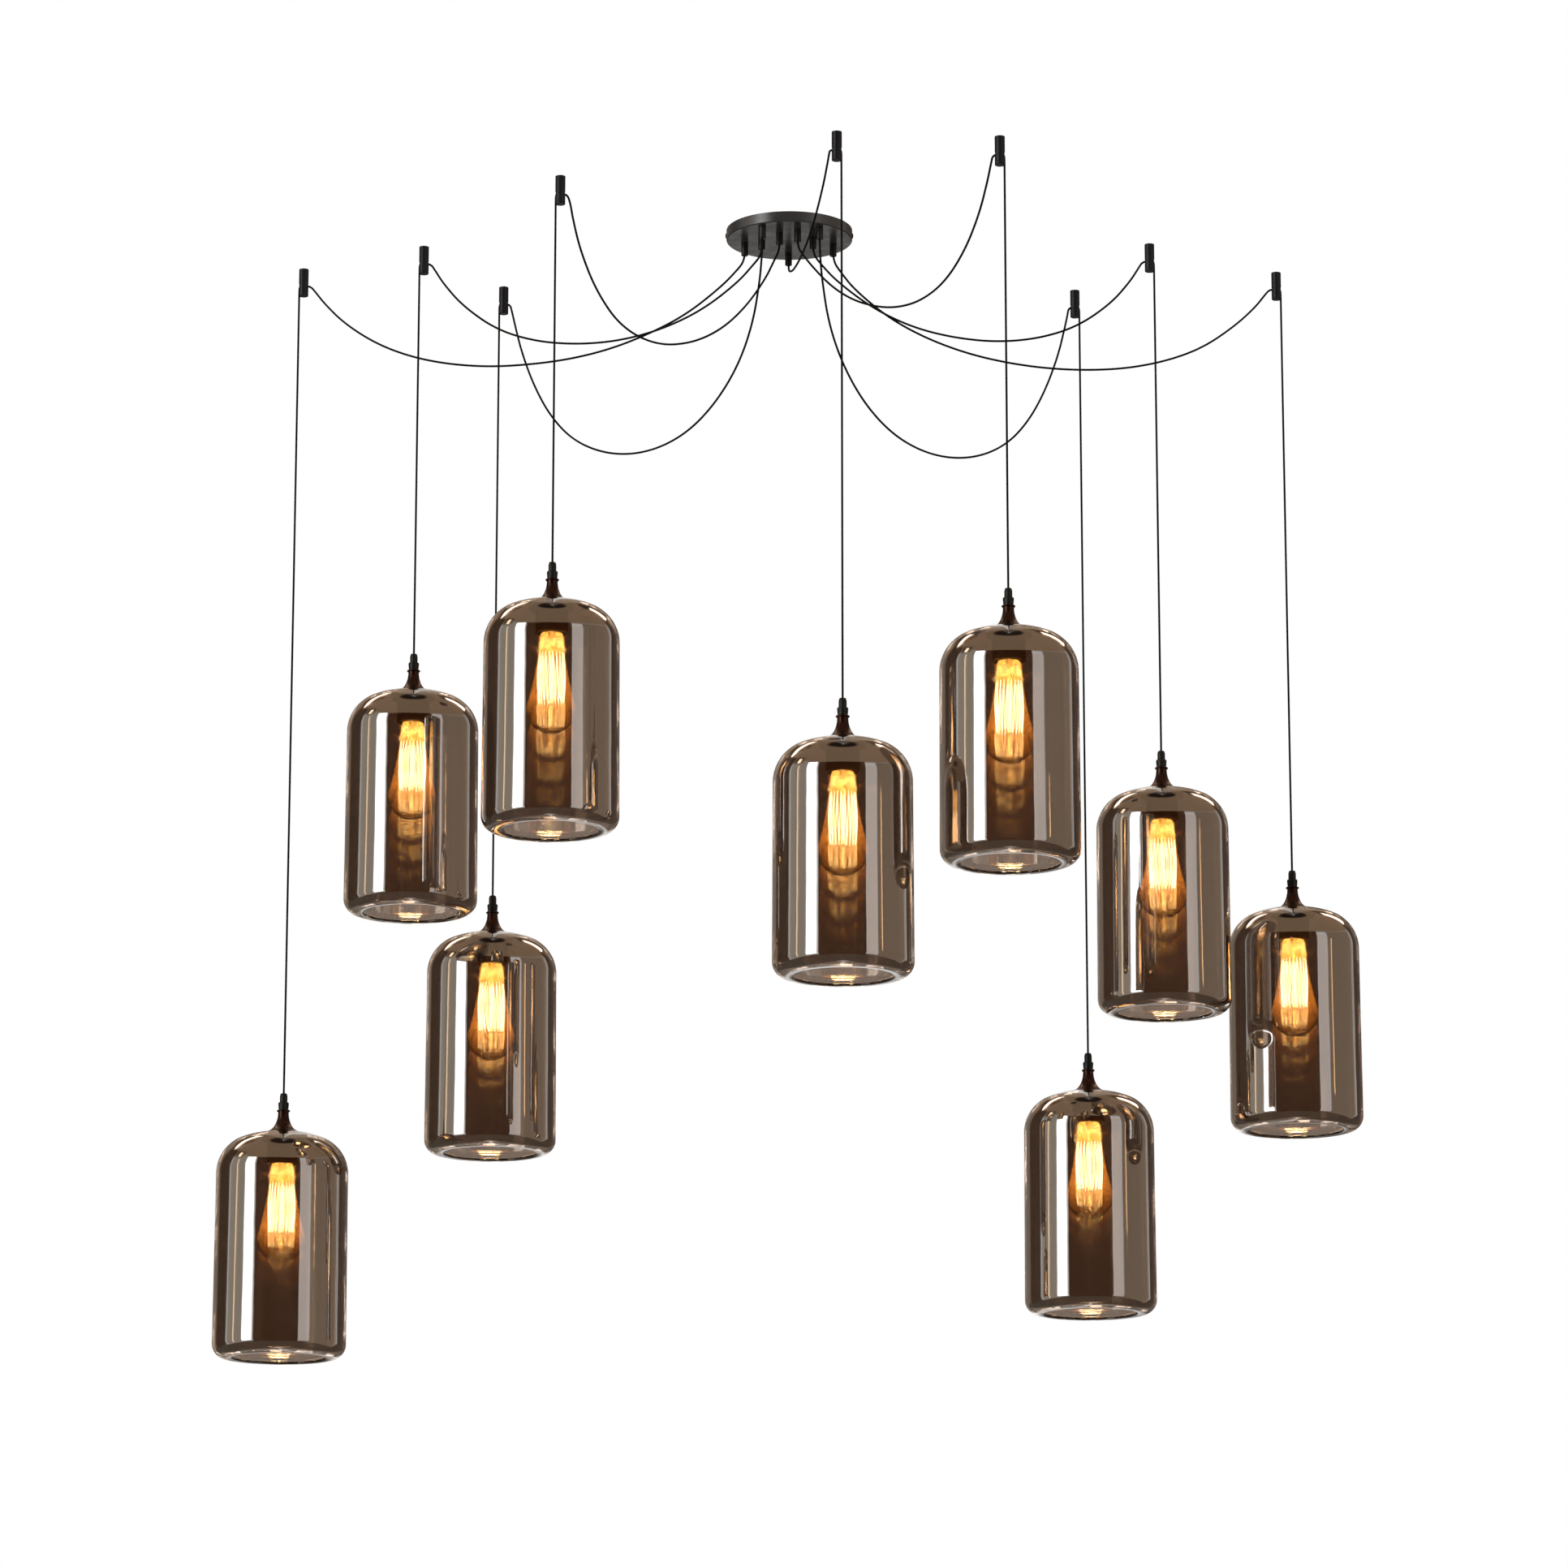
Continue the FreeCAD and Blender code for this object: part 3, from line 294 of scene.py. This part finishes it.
def glass(name, tint, rough=0.0, ripple=0.0, mirror=1.0):
    """Clear or smoked glass with slow ripples from the blowing; mirror is a thin coat's index."""
    material, nodes, links, shader = node_material(name)
    shader.inputs["Transmission Weight"].default_value = 1
    shader.inputs["IOR"].default_value = 1.5
    if mirror > 1:
        shader.inputs["Coat Weight"].default_value = 1
        shader.inputs["Coat IOR"].default_value = mirror
        shader.inputs["Coat Roughness"].default_value = 0.0
    dark = tuple(c * 0.93 for c in tint)
    light = tuple(min(c * 1.06, 1) for c in tint)
    drift = noise(nodes, links, 9.0, 3.0, 0.5, (1, 1, 0.35))
    tone = ramp(nodes, links, drift.outputs["Fac"], dark, light)
    links.new(tone.outputs["Color"], shader.inputs["Base Color"])
    smear = noise(nodes, links, 30.0, 5.0, 0.6, (1, 1, 0.5))
    gloss = ramp(nodes, links, smear.outputs["Fac"], rough, rough + 0.03, 0.45, 0.8)
    links.new(gloss.outputs["Color"], shader.inputs["Roughness"])
    if ripple:
        slow = noise(nodes, links, 7.0, 2.0, 0.4, (1, 1, 0.3))
        quick = noise(nodes, links, 26.0, 2.0, 0.5, (1, 1, 0.6))
        both = add(nodes, "ShaderNodeMath", operation="MULTIPLY_ADD")
        both.inputs[1].default_value = 0.16
        links.new(quick.outputs["Fac"], both.inputs[0])
        links.new(slow.outputs["Fac"], both.inputs[2])
        wave = bump(nodes, links, both.outputs[0], shader, ripple)
        links.new(wave.outputs["Normal"], shader.inputs["Coat Normal"])
    return material


def painted_glow(material, strength, stops):
    """Painted glow on glass that is no lamp, standing in for the filament's light in it: warm,
    speckled light that varies with height; stops are (millimetres, colour) from below.
    """
    nodes, links = material.node_tree.nodes, material.node_tree.links
    shader = nodes["Principled BSDF"]
    where = add(nodes, "ShaderNodeTexCoord")
    split = add(nodes, "ShaderNodeSeparateXYZ")
    links.new(where.outputs["Object"], split.inputs["Vector"])
    low, high = stops[0][0], stops[-1][0]
    span = add(nodes, "ShaderNodeMapRange")
    span.inputs["From Min"].default_value = low * MM
    span.inputs["From Max"].default_value = high * MM
    links.new(split.outputs["Z"], span.inputs["Value"])
    curve = add(nodes, "ShaderNodeValToRGB")
    curve.color_ramp.interpolation = "EASE"
    elements = curve.color_ramp.elements
    elements[0].position, elements[1].position = 0, 1
    elements[0].color, elements[1].color = (*stops[0][1], 1), (*stops[-1][1], 1)
    for level, colour in stops[1:-1]:
        elements.new((level - low) / (high - low)).color = (*colour, 1)
    links.new(span.outputs["Result"], curve.inputs["Fac"])
    grain = noise(nodes, links, 240.0, 3.0, 0.6)
    speckle = ramp(nodes, links, grain.outputs["Fac"], 0.3, 1.0, 0.38, 0.58)
    mixed = add(nodes, "ShaderNodeMix", data_type="RGBA", blend_type="MULTIPLY")
    mixed.inputs["Factor"].default_value = 1
    links.new(curve.outputs["Color"], mixed.inputs["A"])
    links.new(speckle.outputs["Color"], mixed.inputs["B"])
    links.new(mixed.outputs["Result"], shader.inputs["Emission Color"])
    shader.inputs["Emission Strength"].default_value = strength
    material.cycles.emission_sampling = "NONE"


SMOKE = (0.30, 0.235, 0.19)
# AMBER, GOLD, YELLOW and EMBER are colours of the painted glow on the bulb's envelope and stem
AMBER, GOLD, UNLIT = (0.34, 0.125, 0.022), (0.78, 0.45, 0.10), (0, 0, 0)
YELLOW, EMBER = (1.0, 0.74, 0.36), (0.10, 0.05, 0.01)
smoked_glass = glass("smoked_glass", SMOKE, 0.0, 0.0012, mirror=2.9)
smoked_inside = glass("smoked_inside", SMOKE, 0.0, 0.0012, mirror=4.0)
bulb_glass = glass("bulb_glass", (1.0, 0.90, 0.72), 0.0, 0.0002)
# painted glow: the envelope's clear glass shines amber and gold as if lit by the filament
painted_glow(bulb_glass, 3.2, (
    (-140, UNLIT), (-112, AMBER), (-66, AMBER), (-56, GOLD), (-38, GOLD), (-30, AMBER)))
stem_glass = glass("stem_glass", (1.0, 0.9, 0.7), 0.1, 0.0003)
# painted glow: the glass stem shines yellow along the filament cage as if lit by it
painted_glow(stem_glass, 16.0, (
    (-127, UNLIT), (-110, YELLOW), (-72, YELLOW), (-62, EMBER), (-28, UNLIT)))

cap_bronze = painted("cap_bronze", (0.030, 0.014, 0.010), (0.066, 0.030, 0.021), 0.29, 3200, 10,
                     metallic=0.9)
canopy_paint = painted("canopy_paint", *greys(0.020, 0.030, 0.03), 0.30, 1400, 6, specular=0.8)
hook_paint = painted("hook_paint", *greys(0.004, 0.009, 0.3), 0.4, 1600, 4, specular=0.25)
grip_plastic = painted("grip_plastic", *greys(0.004, 0.009), 0.36, 1600, 4, specular=0.35)
gland_plastic = painted("gland_plastic", *greys(0.004, 0.009, -0.2), 0.36, 2200, 4, specular=0.3)
holder_plastic = painted("holder_plastic", *greys(0.012, 0.022, -0.1), 0.42, 1500, 30)
block_plastic = painted("block_plastic", *greys(0.70, 0.79, -0.08), 0.45, 1200, 30)
zinc_steel = painted("zinc_steel", *greys(0.50, 0.66, -0.03), 0.30, 700, 20, metallic=1.0)
screw_steel = painted("screw_steel", *greys(0.03, 0.05, 0.05), 0.34, 2000, 10, metallic=0.4)
nickel = painted("nickel", (0.60, 0.54, 0.42), (0.78, 0.70, 0.56), 0.2, 900, 10, metallic=1.0)
black_glass = painted("black_glass", *greys(0.008, 0.014), 0.1, 300, 10)

filament, nodes, links, shader = node_material("filament")
shader.inputs["Base Color"].default_value = (0.35, 0.2, 0.1, 1)
shader.inputs["Roughness"].default_value = 0.6
heat = noise(nodes, links, 60.0, 3.0, 0.6)
tone = ramp(nodes, links, heat.outputs["Fac"], (1.0, 0.88, 0.64), (1.0, 0.97, 0.80))
links.new(tone.outputs["Color"], shader.inputs["Emission Color"])
shader.inputs["Emission Strength"].default_value = 110
filament.cycles.emission_sampling = "NONE"

for node, material in (
        ("canopy_cover", canopy_paint), ("mounting_bar", zinc_steel),
        ("terminal_block", block_plastic), ("canopy_grips", grip_plastic),
        ("canopy_screws", screw_steel), ("ceiling_hooks", hook_paint)):
    for place in NODES[node].material_slots:
        place.material = material
for number in HOOKS:
    for place in NODES["lamp_holder_%d" % number].material_slots:
        place.material = holder_plastic

# profiles (radius, height) from the top of the glass, in millimetres
SHADE = outline([
    (20.5, 0), (24, 0, 100, -1, 12), (57, -9.2, 46.8, -1, 22), (80, -50), (80.1, -85), (80.2, -120),
    (80.4, -155), (80.5, -190), (80.7, -225), (80.8, -257.5, 17, -1, 14), (63.8, -274.5),
    (58.7, -274.5, 1.5, -1, 5), (58.7, -271.5), (63.8, -271.5, 14, 1, 12), (77.8, -257.5),
    (77.7, -225), (77.5, -190), (77.4, -155), (77.2, -120), (77.1, -85),
    (77.004, -50.157, 43.8, 1, 20), (55.638, -11.873, 97, 1, 10), (24, -3), (20.5, -3),
])
CAP = outline([
    (21.8, 0), (22.4, 0), (22.8, 0.4), (22.8, 1.0, 17.7, -1, 16), (10.2, 10, 32.7, -1, 18),
    (6.5, 26.5), (7.0, 26.5, 1.05, 1, 5), (8.05, 27.55, 1.05, 1, 5), (7.0, 28.6), (5.2, 28.6),
    (5.2, 27.6), (5.5, 27.6), (5.5, 26.5, 33.7, 1, 14), (9.317, 9.531, 18.7, 1, 12),
])
GLAND_BODY = [
    (5.05, 28.6), (5.8, 28.6), (5.95, 29.6), (6.5, 36.4), (6.4, 37.0), (6.0, 37.8), (1.5, 37.8),
    (1.5, 33.45), (5.05, 33.45),
]
GLAND_NUT = [
    (1.5, 37.8), (4.3, 37.8), (4.65, 38.2), (4.65, 45.6), (4.45, 46.4), (3.95, 48.4), (3.7, 48.8),
    (3.45, 49.0), (1.7, 49.0), (1.5, 48.8),
]
ENVELOPE = outline([
    (12.3, -30), (12.3, -38), (14.2, -41.4, 400, 1, 26), (29.5, -128.5, 29.5, -1, 18), (0, -158),
    (0, -157.2, 28.7, 1, 18), (28.7, -128.5, 399.2, -1, 26), (13.4, -41.4), (11.5, -38),
    (11.5, -30),
])
STEM = outline([
    (0, -30.2), (11.2, -30.2), (11.2, -31.6, 9, 1, 6), (4.0, -40.0), (2.2, -44), (2.2, -60),
    (2.9, -61), (2.9, -62.5), (2.2, -63.5), (2.2, -122), (3.2, -123.0, 1.9, -1, 6),
    (3.2, -126), (0, -126.5),
])
INSULATOR = [(0, -13.6), (5.5, -13.6), (8.2, -14.8), (11.5, -17.0), (0, -17.0)]
CONTACT = outline([(0, -12.0), (2.6, -12.0, 3.2, -1, 5), (4.5, -13.2), (4.5, -13.6), (0, -13.6)])


def around(r, degrees, z):
    a = math.radians(degrees)
    return (r * math.cos(a), r * math.sin(a), z)


def screw_shell():
    """The bulb's metal base, with a rolled thread that climbs as it turns."""
    pitch, top, end, segments, rows = 3.6, -17.0, -38.0, 48, 72
    work = bmesh.new()
    rings = []
    for j in range(rows + 1):
        z = top + (end - top) * j / rows
        ease = min(1, (top - z) / 2.4, (z - end) / 2.8)
        ring = []
        for k in range(segments):
            a = 2 * math.pi * k / segments
            r = 12.75 + 0.45 * max(ease, 0) * math.sin(2 * math.pi * z / pitch + a)
            if z > top - 0.6:
                r = 11.5 + (r - 11.5) * (top - z) / 0.6
            ring.append(work.verts.new((r * MM * math.cos(a), r * MM * math.sin(a), z * MM)))
        rings.append(ring)
    inner = [Vector(around(12.32, 360 * k / segments, end)) for k in range(segments)]
    rings.append([work.verts.new(point * MM) for point in inner])
    for low, high in zip(rings, rings[1:]):
        for k in range(segments):
            n = (k + 1) % segments
            work.faces.new((low[k], high[k], high[n], low[n]))
    bmesh.ops.recalc_face_normals(work, faces=work.faces)
    mesh = bpy.data.meshes.new("screw_shell")
    work.to_mesh(mesh)
    work.free()
    mesh.polygons.foreach_set("use_smooth", [True] * len(mesh.polygons))
    mesh.set_sharp_from_angle(angle=math.radians(60))
    mesh.materials.append(nickel)
    return mesh


def wires(name, paths, material):
    """Thin round wires through points in millimetres; each path is (points, radius)."""
    work = bmesh.new()
    sides = 6
    for points, radius in paths:
        points = [Vector(p) for p in points]
        rings = []
        for i, point in enumerate(points):
            ahead = points[min(i + 1, len(points) - 1)] - points[max(i - 1, 0)]
            ahead.normalize()
            across = ahead.orthogonal() if i == 0 else across - ahead * across.dot(ahead)
            across.normalize()
            other = ahead.cross(across)
            turns = [2 * math.pi * k / sides for k in range(sides)]
            rings.append([
                work.verts.new((point + (across * math.cos(a) + other * math.sin(a)) * radius) * MM)
                for a in turns
            ])
        for low, high in zip(rings, rings[1:]):
            for k in range(sides):
                work.faces.new((low[k], low[(k + 1) % sides], high[(k + 1) % sides], high[k]))
        work.faces.new(rings[0][::-1])
        work.faces.new(rings[-1])
    bmesh.ops.recalc_face_normals(work, faces=work.faces)
    mesh = bpy.data.meshes.new(name)
    work.to_mesh(mesh)
    work.free()
    mesh.polygons.foreach_set("use_smooth", [True] * len(mesh.polygons))
    mesh.materials.append(material)
    return mesh


STRANDS = 22
CAGE_TOP, CAGE_HEIGHT, CAGE_RADIUS = -62.5, 58.5, 14.8
HALF = 180 / STRANDS


def strand(turn, lean, bulge, radius):
    """One wire of the cage, leaning by an angle on its way down and bulging at its middle."""
    points = []
    for share in [t / 8 for t in range(9)]:
        r = CAGE_RADIUS + bulge * math.sin(math.pi * share)
        points.append(around(r, turn + lean * share, CAGE_TOP - CAGE_HEIGHT * share))
    return points, radius


strands, holders = [], []
for k in range(STRANDS):
    turn = 360 * k / STRANDS
    strands.append(strand(turn, HALF, 1.7, 0.34))
    strands.append(strand(turn + 2 * HALF, -HALF, 1.5, 0.3))
    if k % 2 == 0:
        holders.append(([around(2.4, turn, -61.8), around(9, turn, -61.2),
                         around(14.6, turn, -61.9), around(15.1, turn, -62.8)], 0.2))
        low = turn + HALF
        holders.append(([around(2.6, low, -124.4), around(9, low, -122.4),
                         around(14.6, low, -121.4), around(15.1, low, -120.6)], 0.2))
inside = SHADE.index((58.7, -271.5))
shade_mesh = lathe("shade", SHADE, 128, [smoked_glass, smoked_inside],
                   slot_of=lambda ring: int(ring >= inside))
cap_mesh = lathe("cap", CAP, 72, [cap_bronze])
gland_body_mesh = lathe("gland_body", GLAND_BODY, 48, [gland_plastic])
gland_nut_mesh = lathe("gland_nut", GLAND_NUT, 48, [gland_plastic])
envelope_mesh = lathe("envelope", ENVELOPE, 64, [bulb_glass])
stem_mesh = lathe("stem", STEM, 32, [stem_glass], closed=False)
insulator_mesh = lathe("insulator", INSULATOR, 32, [black_glass], closed=False)
contact_mesh = lathe("contact", CONTACT, 32, [nickel], closed=False)
shell_mesh = screw_shell()
filament_mesh = wires("filament", strands, filament)
support_mesh = wires("filament_supports", holders, nickel)

for number in HOOKS:
    hung, lamp = "pendant_%d" % number, "lamp_%d" % number
    cap, bulb = "cap_%d" % number, "bulb_%d" % number
    put("glass_%d" % number, shade_mesh, number, hung, "shade_%d" % number)
    put("trumpet_%d" % number, cap_mesh, number, hung, cap)
    put("gland_body_%d" % number, gland_body_mesh, number, hung, cap)
    put("gland_nut_%d" % number, gland_nut_mesh, number, hung, cap)
    put("envelope_%d" % number, envelope_mesh, number, lamp, bulb)
    put("stem_%d" % number, stem_mesh, number, lamp, bulb)
    put("filament_%d" % number, filament_mesh, number, lamp, bulb)
    put("supports_%d" % number, support_mesh, number, lamp, bulb)
    put("screw_shell_%d" % number, shell_mesh, number, lamp, bulb)
    put("insulator_%d" % number, insulator_mesh, number, lamp, bulb)
    put("contact_%d" % number, contact_mesh, number, lamp, bulb)

floor_mesh = bpy.data.meshes.new("floor")
reach, level = 30.0, -4.5
corners = [(x * reach, y * reach, level) for x, y in ((-1, -1), (1, -1), (1, 1), (-1, 1))]
floor_mesh.from_pydata(corners, [], [(0, 1, 2, 3)])
floor = bpy.data.objects.new("floor", floor_mesh)
scene.collection.objects.link(floor)
floor_mesh.materials.append(painted("floor_paint", *greys(0.80, 0.84, -0.01), 0.75, 90, 400))
floor.visible_glossy = floor.visible_transmission = False


def lamp(name, place, aim, size, power, colour):
    """A soft box that lights the paint and the floor; the world alone shows in the glass."""
    data = bpy.data.lights.new(name, "AREA")
    data.shape = "RECTANGLE"
    data.size, data.size_y = size
    data.energy = power
    data.color = colour
    light = bpy.data.objects.new(name, data)
    light.location = place
    light.rotation_euler = (Vector(aim) - Vector(place)).to_track_quat("-Z", "Y").to_euler()
    light.visible_camera = False
    light.visible_glossy = False
    light.visible_transmission = False
    scene.collection.objects.link(light)
    return light


lamp("key_lamp", (-3.4, -4.6, 1.4), (0, 0, -0.6), (2.4, 2.4), 190, (1.0, 0.98, 0.95))
lamp("fill_lamp", (4.2, -3.2, -0.4), (0, 0, -0.6), (2.6, 2.6), 70, (0.96, 0.98, 1.0))

world = bpy.data.worlds.new("studio")
scene.world = world
world.use_nodes = True
nodes, links = world.node_tree.nodes, world.node_tree.links
backdrop = nodes["Background"]


def math_node(kind, *values, clamp=False):
    node = add(nodes, "ShaderNodeMath", operation=kind, use_clamp=clamp)
    for place, item in zip(node.inputs, values):
        if isinstance(item, (int, float)):
            place.default_value = item
        else:
            links.new(item, place)
    return node.outputs[0]


look = add(nodes, "ShaderNodeTexCoord")
axes = add(nodes, "ShaderNodeSeparateXYZ")
links.new(look.outputs["Generated"], axes.inputs["Vector"])
toward = math_node("MULTIPLY", axes.outputs["Y"], -1)
azimuth = math_node("DEGREES", math_node("ARCTAN2", axes.outputs["X"], toward))
height = math_node("DEGREES", math_node("ARCSINE", axes.outputs["Z"]))


def window_mask(value, low, high, soft):
    """1 between low and high, with a soft edge in degrees."""
    up = math_node("DIVIDE", math_node("SUBTRACT", value, low), soft, clamp=True)
    down = math_node("DIVIDE", math_node("SUBTRACT", high, value), soft, clamp=True)
    return math_node("MULTIPLY", up, down)


def paint(under, mask, colour):
    mix = add(nodes, "ShaderNodeMix", data_type="RGBA")
    links.new(mask, mix.inputs["Factor"])
    links.new(under, mix.inputs["A"])
    mix.inputs["B"].default_value = (*colour, 1)
    return mix.outputs["Result"]


# soft boxes and dark flags round the object, each over those before it: its azimuths and heights
# in degrees, the softness of its edge and its light; a slanted one has its slope and start too
studio = add(nodes, "ShaderNodeRGB")
studio.outputs[0].default_value = (1.05, 1.05, 1.03, 1)
studio = studio.outputs[0]
PANELS = (
    # the far side, the ceiling and the floor, as the glass mirrors them at its edges
    ((-181, -120), (-40, 40), 8, (0.24, 0.19, 0.15)),
    ((120, 181), (-40, 40), 8, (0.10, 0.07, 0.055)),
    ((-181, 181), (24, 91), 6, (0.36, 0.24, 0.15)),
    ((-181, 181), (-91, -17), 8, (0.10, 0.07, 0.05)),
    ((-181, -100), (-60, -6), 6, (0.08, 0.07, 0.055)),
    ((100, 181), (-60, -6), 6, (0.08, 0.06, 0.045)),
    # dark edge, pale field and window on the left, dark field in the middle, grey on the right
    ((-136, -98), (-20, 40), 4, (0.06, 0.035, 0.022)),
    ((-98, -63), (-25, 34), 2, (0.50, 0.45, 0.37)),
    ((-63, -43.5), (-16, 30), 1.2, (5.0, 5.0, 5.0)),
    ((-83, -79), (-18, 24), 1.6, (2.4, 1.8, 1.2)),
    ((-42, 38.5), (-30, 30), 1.5, (0.055, 0.018, 0.006)),
    ((38.5, 56), (-20, 22), 1.5, (0.95, 0.85, 0.78)),
    ((56, 122), (-30, 30), 3, (0.31, 0.235, 0.17)),
    ((64.5, 66.5), (8, 13), 0.6, (3.0, 1.8, 0.9)),
    ((116, 119), (-20, 30), 1.0, (0.7, 0.6, 0.5)),
    ((122, 140), (-20, 34), 4, (0.08, 0.055, 0.04)),
    # warm spots on the shoulders, each on a dark ground, and the dark patch under the cap
    ((-160, -112), (33, 63), 5, (0.09, 0.055, 0.035)),
    ((120, 156), (28, 63), 5, (0.09, 0.055, 0.035)),
    ((-99, -74), (26, 42), 4, (0.09, 0.055, 0.035)),
    ((-153, -119), (36, 45), 1.5, (6.0, 4.8, 3.6), -0.46, -122),
    ((130, 143), (33, 56), 1.5, (6.0, 4.8, 3.6)),
    ((-90, -82), (28, 38), 1.5, (4.0, 3.0, 2.0)),
    ((-181, 181), (75, 91), 3, (0.03, 0.02, 0.015)),
)
for turn, rise, soft, colour, *lean in PANELS:
    level_of = height
    if lean:
        from_edge = math_node("SUBTRACT", azimuth, lean[1])
        level_of = math_node("SUBTRACT", height, math_node("MULTIPLY", from_edge, lean[0]))
    across = window_mask(azimuth, *turn, soft)
    upward = window_mask(level_of, *rise, soft)
    studio = paint(studio, math_node("MULTIPLY", across, upward), colour)

path = add(nodes, "ShaderNodeLightPath")
plain = add(nodes, "ShaderNodeMix", data_type="RGBA")
plain.inputs["A"].default_value = (0.62, 0.62, 0.62, 1)
plain.inputs["B"].default_value = (1, 1, 1, 1)
links.new(path.outputs["Is Camera Ray"], plain.inputs["Factor"])
behind = add(nodes, "ShaderNodeMix", data_type="RGBA")
# what shows straight through the glass is the white beyond the object
around_back = math_node("GREATER_THAN", math_node("ABSOLUTE", azimuth), 160)
straight = math_node("MULTIPLY", path.outputs["Is Transmission Ray"], around_back)
links.new(straight, behind.inputs["Factor"])
links.new(studio, behind.inputs["A"])
behind.inputs["B"].default_value = (1, 1, 1, 1)
studio = behind.outputs["Result"]
mirrored = math_node("MAXIMUM", path.outputs["Is Glossy Ray"], path.outputs["Is Transmission Ray"])
final = add(nodes, "ShaderNodeMix", data_type="RGBA")
links.new(mirrored, final.inputs["Factor"])
links.new(plain.outputs["Result"], final.inputs["A"])
links.new(studio, final.inputs["B"])
links.new(final.outputs["Result"], backdrop.inputs["Color"])

scene.view_settings.view_transform = "Standard"
